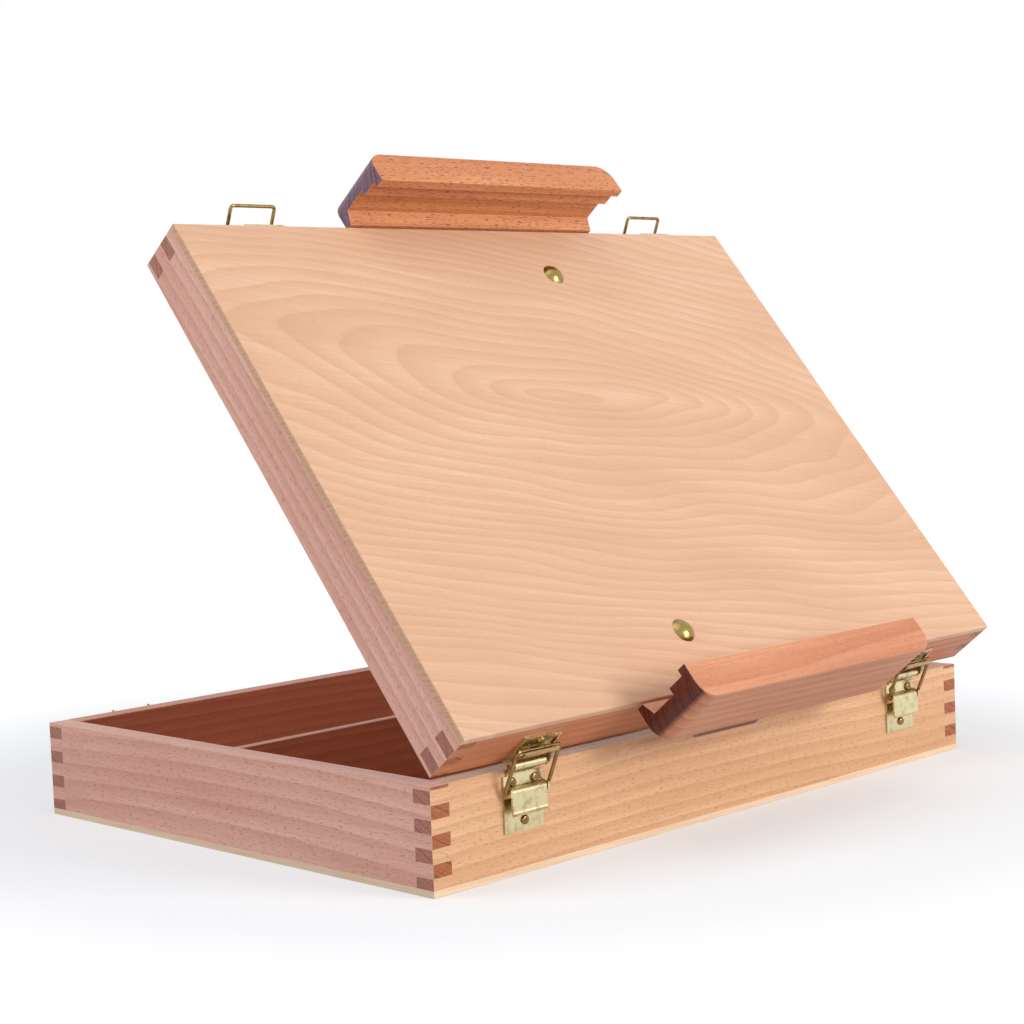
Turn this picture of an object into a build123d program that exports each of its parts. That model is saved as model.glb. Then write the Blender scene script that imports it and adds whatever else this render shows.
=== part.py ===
"""Table box easel: a beech paint box whose lid opens from the back and stands as a drawing board.

Millimetres, +Z up. The origin is the centre of the underside, and -Y is the side with the ledge.
Everything on the lid is modelled with the box shut and then tilted about the front pin line.
"""
from build123d import *
import os
from math import asin, cos, degrees, hypot, radians

# Box
width = 400.0
depth = 292.0
base_height = 48.0
lid_height = 29.0
wall = 11.0
bottom_thickness = 3.0
panel_thickness = 3.5
panel_edge_radius = 0.8
lid_tilt = 51.0

# Box joints, cut before the lid was sawn off
finger = 6.35
saw_kerf = 2.9
rim_finger = 1.65

# Tray
divider_thickness = 6.0
divider_height = 37.0
divider_y = 36.0
divider_groove = 4.0

# Slats and the rails that they carry
slat_width = 46.0
slat_thickness = 7.0
ledge_slat_x = -34.5
clamp_slat_x = 36.0
guide_width = 14.0
slat_gap = 0.4
slat_play = 0.2
ledge_travel = 60.0
clamp_travel = 130.0
slat_tail = 32.0
rail_gap = 1.4
rail_length = 179.0
rail_depth = 18.5
rail_height = 36.5
rail_corner_radius = 10.0
rail_edge_radius = 1.0
lip_height = 5.0
rebate_depth = 3.4
rebate_height = 9.5
groove_depth = 7.0
foot_height = 4.0
foot_slope = 3.0
slat_end_inset = 1.5

# Carriage bolts, washers and wing nuts
bolt_from_edge = 32.0
bolt_radius = 2.5
bolt_head_radius = 6.5
bolt_head_height = 3.0
bolt_neck = 5.0
bolt_clearance = 0.4
bolt_below_nut = 1.0
washer_radius = 8.0
washer_thickness = 1.0
nut_radius = 4.6
nut_height = 8.0
nut_bore_clearance = 0.06
nut_flange_radius = 6.0
nut_flange_height = 1.6
wing_span = 27.0
wing_thickness = 2.2
wing_rise = 3.0
wing_tip_width = 1.0

# Draw catches, seen as on the front: the face is y = 0 and the rim is z = 0
catch_from_end = 55.0
sheet = 1.0
plate_width = 24.4
plate_length = 28.5
pin_out = 4.4
pin_rise = 1.9
pin_radius = 1.1
pin_length = 24.2
running_clearance = 0.06
curl_width = 19.4
bend_start = 3.2
lever_pin_out = 3.0
lever_pin_drop = 10.0
cheek_reach = 5.4
cheek_half_height = 3.2
lever_width = 21.8
lever_length = 10.4
lever_flare = 1.1
bail_width = 27.0
bail_wire_radius = 0.9
bail_bend_radius = 1.7
bail_pin_length = 4.6
hook_bar_out = 3.7
hook_bar_rise = 11.0
hook_width = 21.4
hook_plate_width = 24.0
hook_plate_top = 19.0
hook_lip_rise = 2.3
hook_channel = 3.75
hook_seat_play = 0.08
cradle_thickness = 1.0
cradle_reach = 6.5
cradle_bottom = 0.35
cradle_top = 8.6
bail_per_lid_degree = 0.43
rear_bail_rest = 150.0

# Screws
screw_head_radius = 2.2
screw_head_height = 1.2
screw_shank_radius = 1.2
screw_length = 8.0
screw_slot = 0.5
catch_screw_spread = 7.0
catch_screw_rise = -5.9
catch_screw_edge = 0.5
hook_screw_rise = 15.4
rail_screw_length = 18.0
rail_screw_spread = 30.0

# Lid stay on the right wall: base plate, arm and slotted track lie in three layers
stay_reach = 110.0
stay_sheet = 1.5
stay_layer_gap = 0.25
arm_width = 10.0
arm_pin_radius = 2.0
slot_clearance = 0.25
track_width = 11.0
track_margin = 8.0
track_foot = 12.0
track_foot_rise = 8.0
track_clear = 2.9
thumb_radius = 7.0
thumb_height = 7.0
thumb_flutes = 18
thumb_flute_radius = 0.5
stay_plate_width = 34.0
stay_plate_drop = 24.0
stay_plate_shoulder = 6.0
stay_screw_drop = 16.0
stay_screw_spread = 22.0
rivet_radius = 2.0
rivet_head_radius = 3.2
lid_max_tilt = 64.0

# Values that follow from those above
half_width = width / 2
half_depth = depth / 2
catch_x = half_width - catch_from_end
box_height = base_height + lid_height
panel_bottom = box_height - panel_thickness
slat_bottom = panel_bottom - slat_play - slat_thickness
washer_bottom = slat_bottom - slat_play - washer_thickness
hinge_y = -half_depth - pin_out
hinge_z = base_height + pin_rise
inner_depth = depth - 2 * wall
inner_face = half_width - wall
base_finger_top = base_height - rim_finger
lid_finger_start = base_height + finger - saw_kerf - rim_finger
catch_screw_low = panel_thickness - lid_height + screw_shank_radius + catch_screw_edge
bail_length = hypot(hook_bar_rise + lever_pin_drop, hook_bar_out - lever_pin_out)
bail_lean = degrees(asin((hook_bar_out - lever_pin_out) / bail_length))


def block(x, y, z):
    """A box between pairs of coordinates."""
    size = (x[1] - x[0], y[1] - y[0], z[1] - z[0])
    return Pos(x[0], y[0], z[0]) * Box(*size, align=(Align.MIN, Align.MIN, Align.MIN))


def rod(radius, start, end):
    """A round bar from one point to another."""
    start, end = Vector(start), Vector(end)
    return extrude(Plane(start, z_dir=end - start) * Circle(radius), (end - start).length)


def side_profile(outline, half, centre=0.0):
    """A (y, z) outline made as wide as two halves about x = centre."""
    return Pos(centre, 0, 0) * extrude(Plane.YZ * outline, half, both=True)


def bent_sheet(path, thickness, half):
    """Sheet metal bent along a (y, z) path."""
    return side_profile(trace(path, thickness), half)


def turned(shape, degrees_up, y, z):
    """The shape turned about a line along X through (y, z)."""
    return Pos(0, y, z) * Rot(degrees_up, 0, 0) * Pos(0, -y, -z) * shape


def on_lid(shape):
    """Tilts what was modelled on the shut box to where the lid stands."""
    return turned(shape, lid_tilt, hinge_y, hinge_z)


def at_front(shape, x):
    return Pos(x, -half_depth, base_height) * shape


def at_rear(shape, x):
    """The same catch upside down on the back: the lid carries the lever and the base the hook."""
    return Pos(x, half_depth, base_height) * Rot(180, 0, 0) * shape


def save(shape, node):
    export_step(shape, f"parts/{node}.step")


# Walls with box joints


def base_spans():
    """Heights at which the front and back walls of the base run out to the side faces."""
    spans, top = [], base_finger_top
    while top > bottom_thickness:
        spans.append((max(top - finger, bottom_thickness), top))
        top -= 2 * finger
    return spans


def lid_spans():
    """The same for the lid, counted up from where the saw left it."""
    spans, low = [], lid_finger_start
    while low < panel_bottom:
        spans.append((low, min(low + finger, panel_bottom)))
        low += 2 * finger
    return spans


def finger_blocks(spans):
    """The corner blocks that the front and back walls fill and the side walls leave free."""
    corners = []
    for low, high in spans:
        for x in ((-half_width, -inner_face), (inner_face, half_width)):
            for y in ((-half_depth, -half_depth + wall), (half_depth - wall, half_depth)):
                corners.append(block(x, y, (low, high)))
    return corners


def long_wall(side, low, high, spans):
    """Front (side -1) or back (side +1) wall between two heights."""
    y = sorted((side * half_depth, side * (half_depth - wall)))
    body = block((-inner_face, inner_face), y, (low, high))
    for span in spans:
        body += block((-half_width, half_width), y, span)
    return body


def side_wall(side, low, high, spans):
    """Left (side -1) or right (side +1) wall between two heights."""
    x = sorted((side * inner_face, side * half_width))
    body = block(x, (-half_depth, half_depth), (low, high))
    for corner in finger_blocks(spans):
        body -= corner
    return body


# Screws


def screw(length=screw_length):
    """Round-head screw: the seat is z = 0 and the shank points down."""
    head = Cylinder(screw_head_radius, screw_head_height, align=(Align.CENTER, Align.CENTER, Align.MIN))
    head = fillet(head.edges().sort_by(Axis.Z)[-1], screw_head_height * 0.8)
    slot = Box(2 * screw_head_radius, screw_slot, screw_slot)
    head -= Pos(0, 0, screw_head_height) * slot
    shank = Cylinder(screw_shank_radius, length, align=(Align.CENTER, Align.CENTER, Align.MAX))
    return head + shank


def face_screw(x, z, seat):
    """A screw in the front face of a catch, its head out along -Y."""
    return Pos(x, -seat, z) * Rot(90, 0, 0) * screw()


# Draw catches


def catch_plate():
    """Base plate: cheeks carry the lever, and the top edge curls round the hinge pin."""
    mid = sheet / 2
    curl = pin_radius + running_clearance + mid
    flat_top = pin_rise - bend_start - curl
    riser = Line((-mid, -plate_length), (-mid, flat_top))
    bend_end = (-pin_out + curl, pin_rise)
    bend = Spline((-mid, flat_top), (-pin_out / 2 - mid, pin_rise - curl), bend_end,
                  tangents=((0, 1), (0, 1)))
    roll = CenterArc((-pin_out, pin_rise), curl, 0, 320)
    narrow = bent_sheet(bend, sheet, curl_width / 2) + bent_sheet(roll, sheet, curl_width / 2)
    plate = bent_sheet(riser, sheet, plate_width / 2) + narrow
    cheek = make_face(Polyline(
        (0, -lever_pin_drop - cheek_half_height), (-cheek_reach, -lever_pin_drop - cheek_half_height / 2),
        (-cheek_reach, -lever_pin_drop + cheek_half_height / 2), (0, -lever_pin_drop + cheek_half_height),
        close=True))
    for side in (-1, 1):
        plate += side_profile(cheek, sheet / 2, side * (plate_width - sheet) / 2)
    bore = bail_wire_radius + running_clearance
    plate -= rod(bore, (-plate_width, -lever_pin_out, -lever_pin_drop),
                 (plate_width, -lever_pin_out, -lever_pin_drop))
    for seat in catch_screws():
        plate -= seat
    return plate


def catch_screws():
    places = [(-catch_screw_spread, catch_screw_rise), (catch_screw_spread, catch_screw_rise),
              (0, catch_screw_low)]
    return [face_screw(x, z, sheet) for x, z in places]


def hinge_pin():
    half = pin_length / 2
    return rod(pin_radius, (-half, -pin_out, pin_rise), (half, -pin_out, pin_rise))


def catch_lever():
    """Lever rolled round the bail's ends, with its lower edge flared for a fingertip."""
    bore = bail_wire_radius + running_clearance
    mid = bore + sheet / 2
    y, z = -lever_pin_out, -lever_pin_drop
    roll = CenterArc((y, z), mid, 180, -300)
    blade = Line((y - mid, z), (y - mid, z - lever_length + 2 * lever_flare))
    tip = JernArc((y - mid, z - lever_length + 2 * lever_flare), (0, -1), 2.4 * lever_flare, -48)
    half = lever_width / 2
    return bent_sheet(roll, sheet, half) + bent_sheet(blade, sheet, half) + bent_sheet(tip, sheet, half)


def catch_bail(swing):
    """Wire bail: its ends turn in through the cheeks, and the bar lies in the hook when swing is 0."""
    y, z = -lever_pin_out, -lever_pin_drop
    half = bail_width / 2
    end = half - bail_pin_length
    route = FilletPolyline((-end, y, z), (-half, y, z), (-half, -hook_bar_out, hook_bar_rise),
                           (half, -hook_bar_out, hook_bar_rise), (half, y, z), (end, y, z),
                           radius=bail_bend_radius)
    section = Plane((-end, y, z), z_dir=(-1, 0, 0)) * Circle(bail_wire_radius)
    return turned(sweep(section, path=route), swing, y, z)


def hook_plate():
    """Hook plate: a channel for the bail's bar, and two cradles that turn on the hinge pin."""
    mid = sheet / 2
    radius = (hook_channel + sheet) / 2
    centre_out = mid + radius
    reach = hook_channel / 2 - hook_seat_play - bail_wire_radius
    centre_rise = hook_bar_rise + (reach ** 2 - (hook_bar_out - centre_out) ** 2) ** 0.5
    back = Line((-mid, hook_plate_top), (-mid, centre_rise))
    turn = CenterArc((-centre_out, centre_rise), radius, 0, -180)
    lip = Line((-centre_out - radius, centre_rise), (-centre_out - radius, hook_bar_rise + hook_lip_rise))
    half = hook_width / 2
    plate = bent_sheet(back, sheet, half) + bent_sheet(turn, sheet, half) + bent_sheet(lip, sheet, half)
    wide_top = block((-hook_plate_width / 2, hook_plate_width / 2), (-sheet, 0),
                     (hook_bar_rise + hook_lip_rise, hook_plate_top))
    plate += wide_top
    outer = hook_plate_width / 2
    cheek = make_face(Polyline((0, cradle_bottom), (-cradle_reach, cradle_bottom),
                               (-cradle_reach, pin_rise + 1), (-sheet - 1, cradle_top),
                               (-sheet, hook_plate_top - sheet), (0, hook_plate_top - sheet), close=True))
    notch_radius = pin_radius + running_clearance
    for side in (-1, 1):
        x = side * (outer - cradle_thickness / 2)
        plate += side_profile(cheek, cradle_thickness / 2, x)
    plate -= rod(notch_radius, (-outer, -pin_out, pin_rise), (outer, -pin_out, pin_rise))
    plate -= block((-outer, outer), (-pin_out - notch_radius, -pin_out + notch_radius),
                   (cradle_bottom - 1, pin_rise))
    plate -= hook_screw()
    return plate


def hook_screw():
    return face_screw(0, hook_screw_rise, sheet)


# Rails, slats, bolts and nuts: drawn for the front, where out is -Y, and turned round for the back


def rail():
    """Grooved rail standing on z = 0 with its gripping side at y = 0 and its back towards -Y."""
    rebate_low = rail_height - lip_height - rebate_height
    outline = make_face(Polyline(
        (0, 0), (0, foot_height), (-groove_depth, foot_height + foot_slope), (-groove_depth, rebate_low),
        (-rebate_depth, rebate_low), (-rebate_depth, rail_height - lip_height),
        (0, rail_height - lip_height), (0, rail_height), (-rail_depth, rail_height), (-rail_depth, 0),
        close=True))
    bar = side_profile(outline, rail_length / 2)
    plan = Pos(0, -rail_depth / 2) * Rectangle(rail_length, rail_depth)
    plan = fillet(plan.vertices().group_by(Axis.Y)[0], rail_corner_radius)
    bar &= extrude(plan, rail_height)
    top_back = bar.edges().group_by(Axis.Z)[-1].filter_by(Axis.X).sort_by(Axis.Y)[0]
    return fillet(top_back, rail_edge_radius)


def slat(travel):
    """Slotted slat under the panel, its top at z = 0 and y = 0 at the wall that it passes through."""
    out = rail_gap + rail_depth - slat_end_inset
    tail = bolt_from_edge + travel + slat_tail
    bar = block((-slat_width / 2, slat_width / 2), (-out, tail), (-slat_thickness, 0))
    half_slot = bolt_radius + bolt_clearance
    near = bolt_from_edge - half_slot
    far = bolt_from_edge + travel + half_slot
    slot = Pos(0, (near + far) / 2) * Rot(0, 0, 90) * SlotOverall(far - near, 2 * half_slot)
    bar -= Pos(0, 0, -slat_thickness) * extrude(slot, slat_thickness)
    for hole in rail_screws():
        bar -= hole
    return bar


def rail_screws():
    """Two screws driven up through the slat into the rail."""
    y = -rail_gap - rail_depth / 2
    places = (-rail_screw_spread / 2, rail_screw_spread / 2)
    return [Pos(x, y, -slat_thickness) * Rot(180, 0, 0) * screw(rail_screw_length) for x in places]


def carriage_bolt():
    """Bolt through the panel, whose top face is z = 0."""
    crown = (bolt_head_radius ** 2 + bolt_head_height ** 2) / (2 * bolt_head_height)
    head = Pos(0, 0, bolt_head_height - crown) * Sphere(crown)
    head &= Cylinder(2 * crown, 2 * crown, align=(Align.CENTER, Align.CENTER, Align.MIN))
    neck = Pos(0, 0, -panel_thickness) * extrude(Rectangle(bolt_neck, bolt_neck), panel_thickness)
    foot = box_height - washer_bottom + nut_height + bolt_below_nut
    return head + neck + rod(bolt_radius, (0, 0, 0), (0, 0, -foot))


def washer():
    ring = Circle(washer_radius) - Circle(bolt_radius + running_clearance)
    return extrude(ring, washer_thickness)


def wing_nut():
    """Wing nut hanging under z = 0."""
    flange = rod(nut_flange_radius, (0, 0, 0), (0, 0, -nut_flange_height))
    hub = rod(nut_radius, (0, 0, 0), (0, 0, -nut_height))
    half = wing_span / 2
    outline = make_face(Polyline(
        (0, -nut_flange_height), (0, -nut_height), (nut_radius, -nut_height),
        (half - wing_rise, -nut_height - wing_rise), (half, -nut_height),
        (half - wing_tip_width, -nut_height + wing_rise), (nut_flange_radius, -nut_flange_height), close=True))
    wing = extrude(Plane.XZ * outline, wing_thickness / 2, both=True)
    nut = flange + hub + wing + Rot(0, 0, 180) * wing
    return nut - rod(bolt_radius + nut_bore_clearance, (0, 0, 0), (0, 0, -nut_height))


# Lid stay


def layer(index):
    """X limits of one layer of the stay, counted in from the right wall."""
    outer = inner_face - index * (stay_sheet + stay_layer_gap)
    return outer - stay_sheet, outer


def stay_strip(index, length, wide):
    """A round-ended strip along +Y from (0, 0) in one layer of the stay."""
    low, high = layer(index)
    shape = Pos(length / 2, 0) * SlotCenterToCenter(length, wide)
    return Pos(low, 0, 0) * extrude(Plane.YZ * shape, high - low)


def stay_arm(angle):
    """Arm from the rivet to the thumb screw, raised by an angle from lying shut."""
    low, high = layer(1)
    pivot = rivet_profile(running_clearance)
    arm = stay_strip(1, stay_reach, arm_width) - pivot
    arm -= rod(arm_pin_radius, (low, stay_reach, 0), (high, stay_reach, 0))
    return Pos(0, hinge_y + stay_reach, hinge_z) * Rot(angle, 0, 0) * arm


def rivet_profile(clearance):
    """Rivet about the X axis, its countersunk head flush with the arm."""
    plate_high = layer(0)[1]
    arm_low = layer(1)[0]
    shank = rod(rivet_radius + clearance, (arm_low, 0, 0), (plate_high, 0, 0))
    head = Plane((arm_low, 0, 0), z_dir=(1, 0, 0)) * Pos(0, 0, stay_sheet / 4) * Cone(
        rivet_head_radius + clearance, rivet_radius + clearance, stay_sheet / 2)
    return shank + head


def thumb_screw(angle):
    """Fluted thumb screw through the arm's end and the track's slot."""
    track_low = layer(2)[0]
    arm_high = layer(1)[1]
    inner = track_low - stay_layer_gap
    shank = rod(arm_pin_radius, (inner - 1, stay_reach, 0), (arm_high, stay_reach, 0))
    knob = Circle(thumb_radius)
    for index in range(thumb_flutes):
        knob -= Rot(0, 0, index * 360 / thumb_flutes) * Pos(thumb_radius, 0) * Circle(thumb_flute_radius)
    head = Pos(inner - thumb_height, stay_reach, 0) * extrude(Plane.YZ * knob, thumb_height)
    return Pos(0, hinge_y + stay_reach, hinge_z) * Rot(angle, 0, 0) * (shank + head)


def stay_track():
    """Slotted track whose centre line runs through the hinge line, on feet bent to the wall."""
    near, far = track_ends()
    low, high = layer(2)
    strip = block((low, high), (near, far), (-track_width / 2, track_width / 2))
    half_slot = arm_pin_radius + slot_clearance
    slot_low, slot_high = near + track_margin, far - track_margin
    slot = block((low, high), (slot_low, slot_high), (-half_slot, half_slot))
    slot += rod(half_slot, (low, slot_low, 0), (high, slot_low, 0))
    slot += rod(half_slot, (low, slot_high, 0), (high, slot_high, 0))
    strip -= slot
    foot_low = layer(0)[1] - stay_sheet
    rise = track_foot_heights()
    strip += block((low, high), (near - stay_sheet, near), (-track_width / 2, rise[1]))
    strip += block((low, foot_low + stay_sheet), (near - stay_sheet, near), rise)
    strip += block((foot_low, foot_low + stay_sheet), (near - track_foot, near), rise)
    strip += block((low, high), (far, far + stay_sheet), (-track_width / 2, rise[1]))
    strip += block((low, foot_low + stay_sheet), (far, far + stay_sheet), rise)
    strip += block((foot_low, foot_low + stay_sheet), (far, far + track_foot), rise)
    strip = Pos(0, hinge_y, hinge_z) * strip
    for fixing in track_screws():
        strip -= fixing
    return strip


def track_ends():
    """Where the track starts and stops, measured from the hinge line."""
    return 2 * stay_reach * cos(radians(lid_max_tilt)) - track_margin, 2 * stay_reach + track_margin


def track_foot_heights():
    """Heights of the feet above the hinge line, clear of the lid's rim."""
    return track_clear, track_width / 2 + track_foot_rise


def track_screws():
    near, far = track_ends()
    z = hinge_z + sum(track_foot_heights()) / 2
    places = (near - track_foot / 2 - stay_sheet / 2, far + track_foot / 2 + stay_sheet / 2)
    seat = layer(0)[0]
    return [Pos(seat, hinge_y + y, z) * Rot(0, -90, 0) * screw() for y in places]


def stay_plate():
    """Pivot plate screwed inside the right wall of the base, its ear standing above the rim."""
    low, high = layer(0)
    ear = stay_plate_shoulder
    outline = make_face(Polyline(
        (-stay_plate_width / 2, -stay_plate_drop), (-stay_plate_width / 2, -ear - pin_rise), (-ear, 0),
        (ear, 0), (stay_plate_width / 2, -ear - pin_rise), (stay_plate_width / 2, -stay_plate_drop),
        close=True)) + Circle(ear)
    plate = Pos(low, hinge_y + stay_reach, hinge_z) * extrude(Plane.YZ * outline, high - low)
    plate -= stay_rivet()
    for fixing in stay_screws():
        plate -= fixing
    return plate


def stay_rivet():
    return Pos(0, hinge_y + stay_reach, hinge_z) * rivet_profile(0)


def stay_screws():
    seat = layer(0)[0]
    y = hinge_y + stay_reach
    return [Pos(seat, y + shift, hinge_z - stay_screw_drop) * Rot(0, -90, 0) * screw()
            for shift in (-stay_screw_spread / 2, stay_screw_spread / 2)]


def shut_front(shape, x):
    """A slat or rail at the front of the shut lid, under the panel."""
    return Pos(x, -half_depth, panel_bottom - slat_play) * shape


def shut_rear(shape, x):
    return Pos(x, half_depth, panel_bottom - slat_play) * Rot(0, 0, 180) * shape


def carve(wood, tools):
    for tool in tools:
        wood -= tool
    return wood


os.makedirs("parts", exist_ok=True)

# Base
sides = (("left", -1), ("right", 1))
front_screws = [at_front(item, side * catch_x) for _, side in sides for item in catch_screws()]
rear_hook_screws = [at_rear(hook_screw(), side * catch_x) for _, side in sides]
save(block((-half_width, half_width), (-half_depth, half_depth), (0, bottom_thickness)),
     "base_bottom_board")
divider_top = bottom_thickness + divider_height
divider_wide = inner_face + divider_groove
divider = block((-divider_wide, divider_wide), (divider_y - divider_thickness / 2,
                divider_y + divider_thickness / 2), (bottom_thickness, divider_top))
save(divider, "tray_divider")
save(carve(long_wall(-1, bottom_thickness, base_height, base_spans()), front_screws), "base_front_wall")
save(carve(long_wall(1, bottom_thickness, base_height, base_spans()), rear_hook_screws),
     "base_rear_wall")
for name, side in sides:
    wood = carve(side_wall(side, bottom_thickness, base_height, base_spans()), [divider] + stay_screws())
    save(wood, f"base_{name}_wall")
save(Compound(front_screws), "front_catch_screws")
save(Compound(rear_hook_screws), "rear_hook_screws")
for name, side in sides:
    save(at_front(catch_plate(), side * catch_x), f"front_catch_plate_{name}")
    save(at_front(hinge_pin(), side * catch_x), f"front_hinge_pin_{name}")
    save(at_rear(hook_plate(), side * catch_x), f"rear_hook_plate_{name}")
save(stay_plate(), "stay_base_plate")
save(stay_rivet(), "stay_rivet")
save(Compound(stay_screws()), "stay_base_screws")

# Lid
front_hook_screws = [at_front(hook_screw(), side * catch_x) for _, side in sides]
rear_screws = [at_rear(item, side * catch_x) for _, side in sides for item in catch_screws()]
bolt_places = (("ledge", ledge_slat_x, -half_depth + bolt_from_edge),
               ("clamp", clamp_slat_x, half_depth - bolt_from_edge))
panel = block((-half_width, half_width), (-half_depth, half_depth), (panel_bottom, box_height))
panel = fillet(panel.faces().sort_by(Axis.Z)[-1].edges(), panel_edge_radius)
bolts = {name: Pos(x, y, box_height) * carriage_bolt() for name, x, y in bolt_places}
save(on_lid(carve(panel, bolts.values())), "lid_panel")
passage_half = slat_width / 2 + slat_gap
passage_low = slat_bottom - slat_play


def slat_passage(x, y):
    """Notch under the panel that lets a slat through a wall."""
    return block((x - passage_half, x + passage_half), y, (passage_low, panel_bottom))


front_y = (-half_depth, -half_depth + wall)
rear_y = (half_depth - wall, half_depth)
lid_front = long_wall(-1, base_height, panel_bottom, lid_spans())
save(on_lid(carve(lid_front, front_hook_screws + [slat_passage(ledge_slat_x, front_y)])),
     "lid_front_wall")
lid_rear = long_wall(1, base_height, panel_bottom, lid_spans())
save(on_lid(carve(lid_rear, rear_screws + [slat_passage(clamp_slat_x, rear_y)])), "lid_rear_wall")
for name, side in sides:
    save(on_lid(carve(side_wall(side, base_height, panel_bottom, lid_spans()), track_screws())),
         f"lid_{name}_wall")
ledge_edges = (ledge_slat_x - passage_half, ledge_slat_x + passage_half)
clamp_edges = (clamp_slat_x - passage_half, clamp_slat_x + passage_half)
guides = {"left": (ledge_edges[0] - guide_width, ledge_edges[0]), "middle": (ledge_edges[1], clamp_edges[0]),
          "right": (clamp_edges[1], clamp_edges[1] + guide_width)}
for name, x in guides.items():
    guide = block(x, (-inner_depth / 2, inner_depth / 2), (slat_bottom, panel_bottom))
    save(on_lid(guide), f"slat_guide_{name}")
save(on_lid(Compound(front_hook_screws)), "front_hook_screws")
save(on_lid(Compound(rear_screws)), "rear_catch_screws")
for name, side in sides:
    save(on_lid(at_front(hook_plate(), side * catch_x)), f"front_hook_plate_{name}")
    save(on_lid(at_rear(catch_plate(), side * catch_x)), f"rear_catch_plate_{name}")
    save(on_lid(at_rear(hinge_pin(), side * catch_x)), f"rear_hinge_pin_{name}")
for name, x, y in bolt_places:
    save(on_lid(bolts[name]), f"{name}_bolt")
    save(on_lid(Pos(x, y, washer_bottom) * washer()), f"{name}_washer")
    save(on_lid(Pos(x, y, washer_bottom) * wing_nut()), f"{name}_wing_nut")
save(on_lid(stay_track()), "stay_track")
save(on_lid(Compound(track_screws())), "stay_track_screws")

# Levers and bails
for name, side in sides:
    x = side * catch_x
    save(at_front(catch_lever(), x), f"front_catch_lever_{name}")
    save(at_front(catch_bail(bail_per_lid_degree * lid_tilt), x), f"front_catch_bail_{name}")
    save(on_lid(at_rear(catch_lever(), x)), f"rear_catch_lever_{name}")
    save(on_lid(at_rear(catch_bail(rear_bail_rest - bail_lean), x)), f"rear_catch_bail_{name}")

# Ledge and clamp
for name, x, travel, place in (("ledge", ledge_slat_x, ledge_travel, shut_front),
                               ("clamp", clamp_slat_x, clamp_travel, shut_rear)):
    bare_rail = Pos(0, -rail_gap, 0) * rail()
    rail_shift = -x if place is shut_front else x
    centred = carve(Pos(rail_shift, 0, 0) * bare_rail, rail_screws())
    save(on_lid(place(centred, x)), f"{name}_rail")
    save(on_lid(place(slat(travel), x)), f"{name}_slat")
    save(on_lid(place(Compound(rail_screws()), x)), f"{name}_rail_screws")

# Lid stay arm, which turns twice as far as the lid
save(stay_arm(2 * lid_tilt), "stay_arm")
save(thumb_screw(2 * lid_tilt), "stay_thumb_screw")
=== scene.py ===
from math import cos, radians, sin

import bpy
from mathutils import Matrix, Vector

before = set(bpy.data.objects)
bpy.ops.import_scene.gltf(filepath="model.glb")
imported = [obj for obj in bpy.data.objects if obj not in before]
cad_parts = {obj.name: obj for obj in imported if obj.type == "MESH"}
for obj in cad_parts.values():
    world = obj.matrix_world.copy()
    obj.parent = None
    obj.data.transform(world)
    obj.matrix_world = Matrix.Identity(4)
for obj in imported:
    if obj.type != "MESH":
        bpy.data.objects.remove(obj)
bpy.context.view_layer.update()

MM = 0.001
LID_TILT = radians(51)

# Directions of the boards: along the box, and back and up on the base and on the tilted lid
ALONG = Vector((1, 0, 0))
BASE_BACK = Vector((0, 1, 0))
BASE_UP = Vector((0, 0, 1))
LID_BACK = Vector((0, cos(LID_TILT), sin(LID_TILT)))
LID_UP = Vector((0, -sin(LID_TILT), cos(LID_TILT)))

# Beech colours: face, latewood, end grain and the dark of its pores
FRONT_BEECH = ("#ECC096", "#C99066", "#C08470", "#96594A")
# partly painted shade: the side walls' beech is pinker than the front's, partly the boards' own tone and
# partly the pink cast of the shaded left-facing walls
SIDE_BEECH = ("#F4C3B0", "#CB8A76", "#BC7446", "#843E22")
# painted shade: the rear wall and the divider get darker beech for the shade inside the tray under the lid
SHADED_TRAY_BEECH = ("#D88C6E", "#A85C46", "#BC7E6A", "#925444")
# painted shade: the lid's front wall gets darker beech for the shade on its downward-facing face
SHADED_LID_FRONT_BEECH = ("#D98F66", "#B06038", "#BC7E6A", "#925444")
PANEL_BEECH = ("#E4BEA1", "#CB9A78", "#DDB394", "#C89876")
CLAMP_BEECH = ("#E29E68", "#B8663A", "#927082", "#54364A")
LEDGE_BEECH = ("#DE9E78", "#B46A48", "#7A3220", "#40140A")
# partly painted highlight: pale colour laid along the arrises, partly wear from handling
RUBBED_AND_HIGHLIT_BEECH = "#F2D3B4"

# Patterns in the beech: cells in one millimetre along the grain and across it, octaves of detail,
# roughness of the detail, and the values between which the pattern comes in
BEECH_PATTERNS = {
    "tone": (0.006, 0.035, 3.0, 0.5, 0.3, 0.7),     # slow drift in colour, about 30 mm across
    "streaks": (0.02, 0.7, 3.0, 0.65, 0.3, 0.75),   # lines 50 mm long and 1.4 mm apart
    "flecks": (0.3, 2.0, 0.0, 0.5, 0.62, 0.76),     # ray flecks 3 mm long and half a millimetre wide
    "rays": (0.5, 3.0, 0.0, 0.5, 0.66, 0.76),       # pale dashes 2 mm long
    "knots": (0.016, 0.04, 0.0, 0.5, 0.86, 0.9),    # a rare pin knot
    "pores": (1.2, 1.2, 3.0, 0.7, 0.35, 0.7),       # pores in the end grain, under a millimetre
}
BEND_ALONG, BEND_ACROSS = 0.005, 0.014   # the rings wander over 200 mm by 70 mm
END_LINES = (0.0, 0.62, 0.34)            # slanting lines in the end grain, 1.4 mm apart
DEEPER_RING = 0.8                        # rings lie a little wider apart through the board

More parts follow.
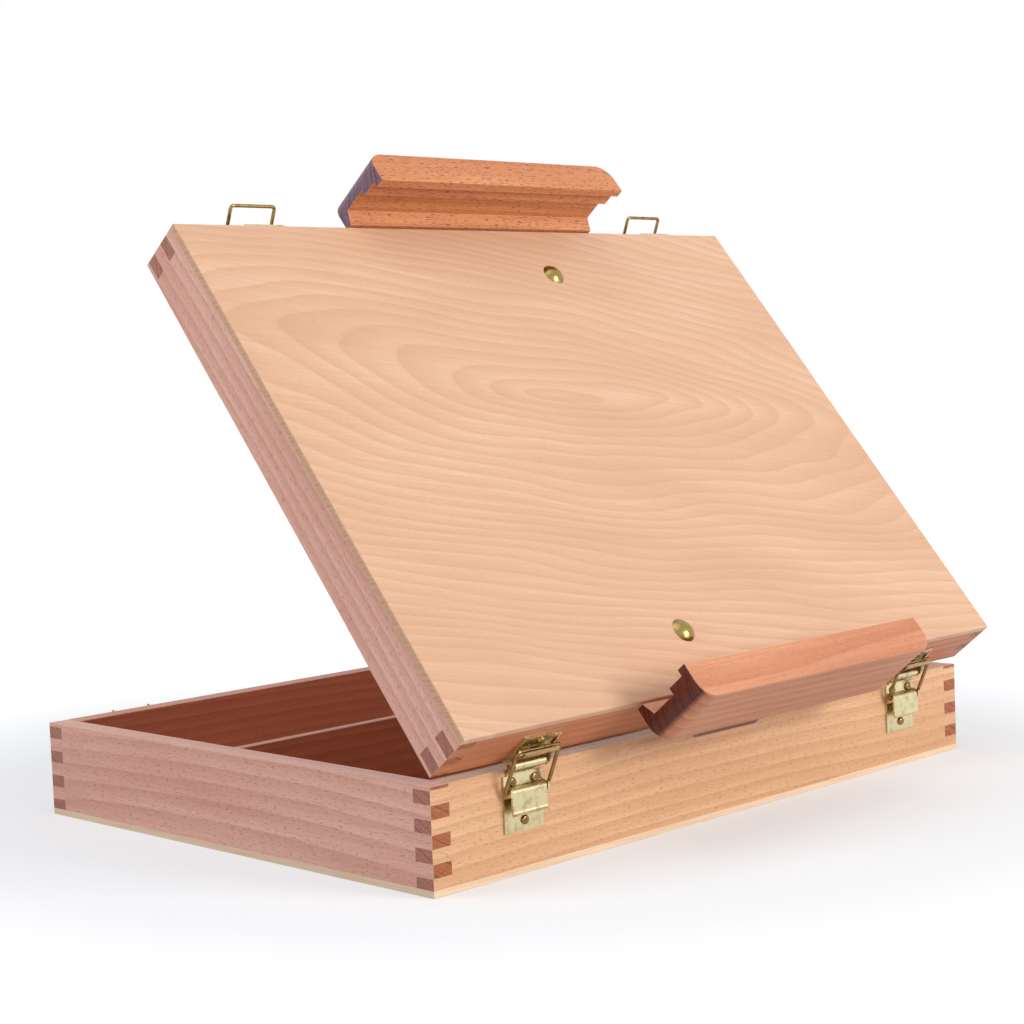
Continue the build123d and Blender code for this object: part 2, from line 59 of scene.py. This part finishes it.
# Lighting and backdrop
REAR_LIGHT = 0.18
FRONT_LIGHT = 0.70
BRIGHT_SIDE = (-0.35, -0.8, 0.48)
FLOOR_LIFT = 0.38
SHADOW_REACH, WHITE_FROM = 0.30, 0.80
FLOOR_REACH = 14.0
FLOOR_DROP = 0.2 * MM
LAMP_AIM = Vector((0, 0, 0.12))
SOFTBOXES = (
    ("key_from_front_right", (0.8, -2.4, 0.85), 1.0, 40, (1.0, 0.97, 0.92)),
    ("fill_from_left", (-0.85, 0.35, 0.8), 0.5, 2.6, (0.93, 0.95, 1.0)),
    ("fill_from_above", (-0.5, -0.2, 2.2), 1.6, 8, (1.0, 0.99, 0.98)),
)

# Camera, as solved from the corners of the box
CAMERA_AZIMUTH = radians(-44.97)
CAMERA_ELEVATION = radians(4.12)
CAMERA_ROLL = radians(-2.316)
CAMERA_DISTANCE = 1.1155
CAMERA_TARGET = Vector((0.0017, 0, 0.1456))
FOCAL_PIXELS = 2074.2
FRAME_PIXELS = 1024
SENSOR_MM = 36


def linear(hex_colour):
    """An sRGB hex colour as linear RGBA."""
    channels = [int(hex_colour[i:i + 2], 16) / 255 for i in (1, 3, 5)]
    return [c / 12.92 if c <= 0.04045 else ((c + 0.055) / 1.055) ** 2.4 for c in channels] + [1]


def add(tree, kind, inputs=None, output=0, **settings):
    """Adds a node with its settings and returns one output; an input is a value or another's output."""
    node = tree.nodes.new(kind)
    for name, value in settings.items():
        setattr(node, name, value)
    for key, value in (inputs or {}).items():
        if isinstance(value, bpy.types.NodeSocket):
            tree.links.new(value, node.inputs[key])
        else:
            node.inputs[key].default_value = value
    return node.outputs[output] if len(node.outputs) else node


def new_material(name):
    material = bpy.data.materials.new(name)
    material.use_nodes = True
    material.node_tree.nodes.clear()
    return material, material.node_tree


def board_coordinates(tree, grain, across, shift):
    """Millimetres along the grain, across it and through the board, from the board's own start."""
    place = add(tree, "ShaderNodeTexCoord", output="Object")
    axes = {}
    for axis, direction in enumerate((grain, across, grain.cross(across))):
        metres = add(tree, "ShaderNodeVectorMath", {0: place, 1: direction}, "Value",
                     operation="DOT_PRODUCT")
        axes[axis] = add(tree, "ShaderNodeMath", {0: metres, 1: 1 / MM}, operation="MULTIPLY")
    board = add(tree, "ShaderNodeCombineXYZ", axes)
    return add(tree, "ShaderNodeVectorMath", {0: board, 1: shift}, operation="ADD")


def latewood_lines(tree, board, ring_mm, slope, warp):
    """Growth rings as long ovals ring_mm apart, drawn out by slope and bent by slow noise: each
    darkens slowly to its latewood and ends sharply."""
    slow = add(tree, "ShaderNodeVectorMath", {0: board, 1: (BEND_ALONG, BEND_ACROSS, BEND_ACROSS)},
               operation="MULTIPLY")
    drift = add(tree, "ShaderNodeTexNoise", {"Vector": slow, "Scale": 1.0, "Detail": 1.5}, "Color")
    centred = add(tree, "ShaderNodeVectorMath", {0: drift, 1: (0.5, 0.5, 0.5)}, operation="SUBTRACT")
    bend = add(tree, "ShaderNodeVectorMath", {0: centred, "Scale": warp}, operation="SCALE")
    oval = (slope / ring_mm, 1 / ring_mm, DEEPER_RING / ring_mm)
    ovals = add(tree, "ShaderNodeVectorMath", {0: board, 1: oval}, operation="MULTIPLY")
    bent = add(tree, "ShaderNodeVectorMath", {0: ovals, 1: bend}, operation="ADD")
    rings = add(tree, "ShaderNodeVectorMath", {0: bent}, "Value", operation="LENGTH")
    ring = add(tree, "ShaderNodeMath", {0: rings, 1: 1.0}, operation="FRACT")
    rising = add(tree, "ShaderNodeMapRange", {"Value": ring, "From Min": 0.15, "From Max": 0.88})
    falling = add(tree, "ShaderNodeMapRange", {"Value": ring, "From Min": 1.0, "From Max": 0.93})
    return add(tree, "ShaderNodeMath", {0: rising, 1: falling}, operation="MULTIPLY")


def layered(tree, colour, layers):
    """Lays each colour over the one before, through its mask at its strength."""
    for mask, strength, over in layers:
        share = add(tree, "ShaderNodeMath", {0: mask, 1: strength}, operation="MULTIPLY")
        colour = add(tree, "ShaderNodeMix", {0: share, 6: colour, 7: over}, 2, data_type="RGBA")
    return colour


def oiled_beech(name, grain, across, shift, colours, ring_mm=6.0, slope=0.12, warp=1.6, figure=0.5,
                fleck=0.42):
    """Steamed beech, planed, sanded and oiled: pale salmon wood with soft rings, a fine scatter of
    short dark ray flecks along the grain, and much darker, matt end grain where it is cut across."""
    face, latewood_colour, end, end_dark = (linear(colour) for colour in colours)
    material, tree = new_material(name)
    board = board_coordinates(tree, grain, across, shift)
    latewood = latewood_lines(tree, board, ring_mm, slope, warp)
    seen = {}
    for pattern, (lengthwise, crosswise, detail, rough, low, high) in BEECH_PATTERNS.items():
        stretched = add(tree, "ShaderNodeVectorMath", {0: board, 1: (lengthwise, crosswise, crosswise)},
                        operation="MULTIPLY")
        noise = add(tree, "ShaderNodeTexNoise", {"Vector": stretched, "Scale": 1.0, "Detail": detail,
                                                 "Roughness": rough})
        seen[pattern] = add(tree, "ShaderNodeMapRange", {"Value": noise, "From Min": low, "From Max": high})

    long_grain = layered(tree, face, (
        (seen["tone"], 0.55, latewood_colour),
        (latewood, figure, latewood_colour),
        (seen["streaks"], 0.42, latewood_colour),
        (seen["flecks"], fleck, end_dark),
        (seen["rays"], 0.35, face),
        (seen["knots"], 0.6, end_dark),
    ))

    slant = add(tree, "ShaderNodeVectorMath", {0: board, 1: END_LINES}, "Value", operation="DOT_PRODUCT")
    lines = add(tree, "ShaderNodeTexNoise", {"W": slant, "Scale": 1.0, "Detail": 2.0},
                noise_dimensions="1D")
    lined = add(tree, "ShaderNodeMapRange", {"Value": lines, "From Min": 0.45, "From Max": 0.7})
    end_grain = layered(tree, end, ((seen["pores"], 1.0, end_dark), (lined, 1.0, end_dark)))

    # A face is end grain where it looks along the board
    normal = add(tree, "ShaderNodeTexCoord", output="Normal")
    facing = add(tree, "ShaderNodeVectorMath", {0: normal, 1: grain}, "Value", operation="DOT_PRODUCT")
    either_way = add(tree, "ShaderNodeMath", {0: facing}, operation="ABSOLUTE")
    cut = add(tree, "ShaderNodeMapRange", {"Value": either_way, "From Min": 0.6, "From Max": 0.8})

    # Pale arrises: partly wear from handling, partly a painted highlight where the rounded edges catch the
    # light
    rounded = add(tree, "ShaderNodeBevel", {"Radius": 0.5 * MM}, samples=4)
    surface = add(tree, "ShaderNodeNewGeometry", output="Normal")
    turn = add(tree, "ShaderNodeVectorMath", {0: rounded, 1: surface}, "Value", operation="DOT_PRODUCT")
    rubbed_and_highlit = add(tree, "ShaderNodeMapRange", {"Value": turn, "From Min": 0.985, "From Max": 0.85})
    colour = layered(tree, long_grain, ((cut, 1.0, end_grain), (rubbed_and_highlit, 0.5, linear(RUBBED_AND_HIGHLIT_BEECH))))

    rough = add(tree, "ShaderNodeMapRange", {"Value": seen["streaks"], "To Min": 0.36, "To Max": 0.56})
    relief = add(tree, "ShaderNodeMath", {0: seen["streaks"], 1: seen["flecks"]}, operation="SUBTRACT")
    bump = add(tree, "ShaderNodeBump", {"Strength": 0.12, "Distance": 0.15 * MM, "Height": relief})
    shader = add(tree, "ShaderNodeBsdfPrincipled", {"Base Color": colour, "Roughness": rough,
                                                    "Normal": bump, "IOR": 1.5,
                                                    "Specular IOR Level": 0.4})
    add(tree, "ShaderNodeOutputMaterial", {"Surface": shader})
    return material


def beech_faced_plywood():
    """Thin plywood, sanded: its cut edge shows as a pale line of thin layers round the foot of the
    box, each about 0.8 mm thick."""
    material, tree = new_material("beech_faced_plywood")
    place = add(tree, "ShaderNodeTexCoord", output="Object")
    flat = add(tree, "ShaderNodeVectorMath", {0: place, 1: (0.03 / MM, 0.03 / MM, 1.2 / MM)},
               operation="MULTIPLY")
    layers = add(tree, "ShaderNodeTexNoise", {"Vector": flat, "Scale": 1.0, "Detail": 2.0})
    colour = layered(tree, linear("#FBE6CC"), ((layers, 1.0, linear("#DDB48C")),))
    bump = add(tree, "ShaderNodeBump", {"Strength": 0.1, "Distance": 0.1 * MM, "Height": layers})
    shader = add(tree, "ShaderNodeBsdfPrincipled", {"Base Color": colour, "Roughness": 0.5,
                                                    "Normal": bump})
    add(tree, "ShaderNodeOutputMaterial", {"Surface": shader})
    return material


def plated_brass(name, bright, dark_tarnish_and_reflection, scratch_mm, cloud_mm=3.846):
    """Steel plated with brass: a pale greenish gold, drawn in fine lines by the tool that formed it,
    with darker clouds, partly where the lacquer has gone and partly painted dark reflections."""
    material, tree = new_material(name)
    place = add(tree, "ShaderNodeTexCoord", output="Object")
    per_metre = 1 / (scratch_mm * MM)
    drawn = add(tree, "ShaderNodeVectorMath", {0: place, 1: (per_metre * 0.08, per_metre, per_metre)},
                operation="MULTIPLY")
    scratches = add(tree, "ShaderNodeTexNoise", {"Vector": drawn, "Scale": 1.0, "Detail": 2.0})
    clouds = add(tree, "ShaderNodeTexNoise", {"Vector": place, "Scale": 1 / (cloud_mm * MM),
                                              "Detail": 3.0})
    # partly painted reflection: the dark clouds stand in for dark reflections in the metal as well as for
    # tarnish
    tarnish_and_reflection_patches = add(tree, "ShaderNodeMapRange", {"Value": clouds, "From Min": 0.5, "From Max": 0.85})
    colour = layered(tree, linear(bright), ((tarnish_and_reflection_patches, 1.0, linear(dark_tarnish_and_reflection)),))
    rough = add(tree, "ShaderNodeMapRange", {"Value": scratches, "To Min": 0.16, "To Max": 0.36})
    bump = add(tree, "ShaderNodeBump", {"Strength": 0.15, "Distance": 0.05 * MM, "Height": scratches})
    shader = add(tree, "ShaderNodeBsdfPrincipled", {"Base Color": colour, "Metallic": 1.0,
                                                    "Roughness": rough, "Normal": bump})
    add(tree, "ShaderNodeOutputMaterial", {"Surface": shader})
    return material


def dress(node, material):
    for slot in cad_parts[node].material_slots:
        slot.material = material


# Each board with its grain, the direction across it, and where in the log it was cut, in mm
BOARDS = {
    "base_front_wall": (ALONG, BASE_UP, (40, 210, 35), FRONT_BEECH),
    "base_rear_wall": (ALONG, BASE_UP, (260, 90, 140), SHADED_TRAY_BEECH),
    "base_left_wall": (BASE_BACK, BASE_UP, (15, 60, 320), SIDE_BEECH),
    "base_right_wall": (BASE_BACK, BASE_UP, (330, 150, 20), SIDE_BEECH),
    "tray_divider": (ALONG, BASE_UP, (80, 40, 75), SHADED_TRAY_BEECH),
    "lid_front_wall": (ALONG, LID_UP, (140, 130, 60), SHADED_LID_FRONT_BEECH),
    "lid_rear_wall": (ALONG, LID_UP, (20, 340, 90), FRONT_BEECH),
    "lid_left_wall": (LID_BACK, LID_UP, (210, 25, 120), SIDE_BEECH),
    "lid_right_wall": (LID_BACK, LID_UP, (60, 180, 240), SIDE_BEECH),
    "slat_guide_left": (LID_BACK, LID_UP, (12, 70, 19), SIDE_BEECH),
    "slat_guide_middle": (LID_BACK, LID_UP, (92, 30, 59), SIDE_BEECH),
    "slat_guide_right": (LID_BACK, LID_UP, (52, 10, 219), SIDE_BEECH),
    "ledge_slat": (LID_BACK, ALONG, (55, 44, 33), LEDGE_BEECH),
    "clamp_slat": (LID_BACK, ALONG, (11, 22, 133), CLAMP_BEECH),
    "ledge_rail": (ALONG, LID_UP, (170, 20, 80), LEDGE_BEECH),
    "clamp_rail": (ALONG, LID_UP, (30, 90, 180), CLAMP_BEECH),
}
PLAIN_FLECK = 0.42
FLECK_OF = {LEDGE_BEECH: 0.15, CLAMP_BEECH: 0.8}
for node, (grain, across, shift, colours) in BOARDS.items():
    fleck = FLECK_OF.get(colours, PLAIN_FLECK)
    dress(node, oiled_beech(f"oiled_beech_{node}", grain, across, shift, colours, fleck=fleck))

# The panel is one wide flat-sawn sheet: its rings open into long ovals whose heart lies above the
# middle, and the grain falls away to the right
PANEL_SLOPE = radians(12)
PANEL_HEART = (42, -123, -171)
panel_grain = cos(PANEL_SLOPE) * ALONG - sin(PANEL_SLOPE) * LID_BACK
panel_across = sin(PANEL_SLOPE) * ALONG + cos(PANEL_SLOPE) * LID_BACK
dress("lid_panel", oiled_beech("oiled_beech_lid_panel", panel_grain, panel_across, PANEL_HEART,
                               PANEL_BEECH, ring_mm=6.5, slope=0.24, warp=7.0, figure=0.5, fleck=0.3))
dress("base_bottom_board", beech_faced_plywood())

pressed_steel = plated_brass("brass_plated_pressed_steel", "#DACDA2", "#9A8A5E", 0.3)
screws_and_wire = plated_brass("brass_plated_screws_and_wire", "#967A4C", "#46341A", 0.2)
turned_bolts = plated_brass("lacquered_brass_bolts", "#A08A52", "#64502A", 0.25)
BOLT_WORDS = ("bolt", "wing_nut", "thumb_screw")
WIRE_WORDS = ("screws", "bail", "pin", "rivet")
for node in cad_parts:
    if node in BOARDS or node in ("lid_panel", "base_bottom_board"):
        continue
    if any(word in node for word in BOLT_WORDS):
        dress(node, turned_bolts)
    elif any(word in node for word in WIRE_WORDS):
        dress(node, screws_and_wire)
    else:
        dress(node, pressed_steel)


def shown_rays(tree):
    """1 for the rays that show the backdrop, to the eye or in metal and glass, and 0 for lighting."""
    eye = add(tree, "ShaderNodeLightPath", output="Is Camera Ray")
    for name in ("Is Glossy Ray", "Is Transmission Ray"):
        ray = add(tree, "ShaderNodeLightPath", output=name)
        eye = add(tree, "ShaderNodeMath", {0: eye, 1: ray}, operation="MAXIMUM")
    return eye


def white_paper_floor():
    """Matt white paper: it takes the shadow near the box and is lifted to plain white farther out."""
    material, tree = new_material("white_paper_floor")
    place = add(tree, "ShaderNodeTexCoord", output="Object")
    away = add(tree, "ShaderNodeVectorMath", {0: place}, "Value", operation="LENGTH")
    lift = add(tree, "ShaderNodeMapRange", {"Value": away, "From Min": SHADOW_REACH,
                                            "From Max": WHITE_FROM, "To Min": FLOOR_LIFT, "To Max": 1.0})
    lift_seen = add(tree, "ShaderNodeMath", {0: shown_rays(tree), 1: lift}, operation="MULTIPLY")
    paper = add(tree, "ShaderNodeBsdfDiffuse", {"Color": (0.58, 0.60, 0.63, 1)})
    glow = add(tree, "ShaderNodeEmission", {"Color": (1, 1, 1, 1), "Strength": lift_seen})
    both = add(tree, "ShaderNodeAddShader", {0: paper, 1: glow})
    add(tree, "ShaderNodeOutputMaterial", {"Surface": both})
    return material


def lay_floor():
    mesh = bpy.data.meshes.new("floor")
    ends = (-FLOOR_REACH, FLOOR_REACH)
    mesh.from_pydata([(x, y, 0) for y in ends for x in ends], [], [(0, 1, 3, 2)])
    mesh.materials.append(white_paper_floor())
    sheet = bpy.data.objects.new("floor", mesh)
    sheet.location.z = -FLOOR_DROP
    bpy.context.scene.collection.objects.link(sheet)


def surround_with_studio():
    """Plain white to look at, and as light brighter in front of the box than behind it."""
    studio = bpy.data.worlds.new("studio")
    studio.use_nodes = True
    tree = studio.node_tree
    tree.nodes.clear()
    direction = add(tree, "ShaderNodeTexCoord", output="Generated")
    front = add(tree, "ShaderNodeVectorMath", {0: direction, 1: BRIGHT_SIDE}, "Value",
                operation="DOT_PRODUCT")
    strength = add(tree, "ShaderNodeMapRange", {"Value": front, "From Min": -0.7, "From Max": 0.9,
                                                "To Min": REAR_LIGHT, "To Max": FRONT_LIGHT})
    light = add(tree, "ShaderNodeBackground", {"Color": (1.0, 0.99, 0.985, 1), "Strength": strength})
    white = add(tree, "ShaderNodeBackground", {"Color": (1, 1, 1, 1), "Strength": 1.0})
    blend = add(tree, "ShaderNodeMixShader", {0: shown_rays(tree), 1: light, 2: white})
    add(tree, "ShaderNodeOutputWorld", {"Surface": blend})
    bpy.context.scene.world = studio


def hang_softbox(name, place, size, watts, colour):
    lamp = bpy.data.lights.new(name, "AREA")
    lamp.shape = "SQUARE"
    lamp.size = size
    lamp.energy = watts
    lamp.color = colour
    holder = bpy.data.objects.new(name, lamp)
    holder.location = place
    holder.rotation_euler = (LAMP_AIM - holder.location).to_track_quat("-Z", "Y").to_euler()
    bpy.context.scene.collection.objects.link(holder)


def set_camera():
    back = Vector((sin(CAMERA_AZIMUTH) * cos(CAMERA_ELEVATION),
                   -cos(CAMERA_AZIMUTH) * cos(CAMERA_ELEVATION),
                   sin(CAMERA_ELEVATION)))
    right = Vector((0, 0, 1)).cross(back).normalized()
    up = back.cross(right)
    lens = bpy.data.cameras.new("camera")
    lens.sensor_width = SENSOR_MM
    lens.lens = FOCAL_PIXELS * SENSOR_MM / FRAME_PIXELS
    holder = bpy.data.objects.new("camera", lens)
    turn = Matrix((right, up, back)).transposed().to_4x4() @ Matrix.Rotation(CAMERA_ROLL, 4, "Z")
    holder.matrix_world = Matrix.Translation(CAMERA_TARGET + CAMERA_DISTANCE * back) @ turn
    bpy.context.scene.collection.objects.link(holder)
    bpy.context.scene.camera = holder


lay_floor()
surround_with_studio()
for softbox in SOFTBOXES:
    hang_softbox(*softbox)
set_camera()
bpy.context.scene.view_settings.view_transform = "Standard"
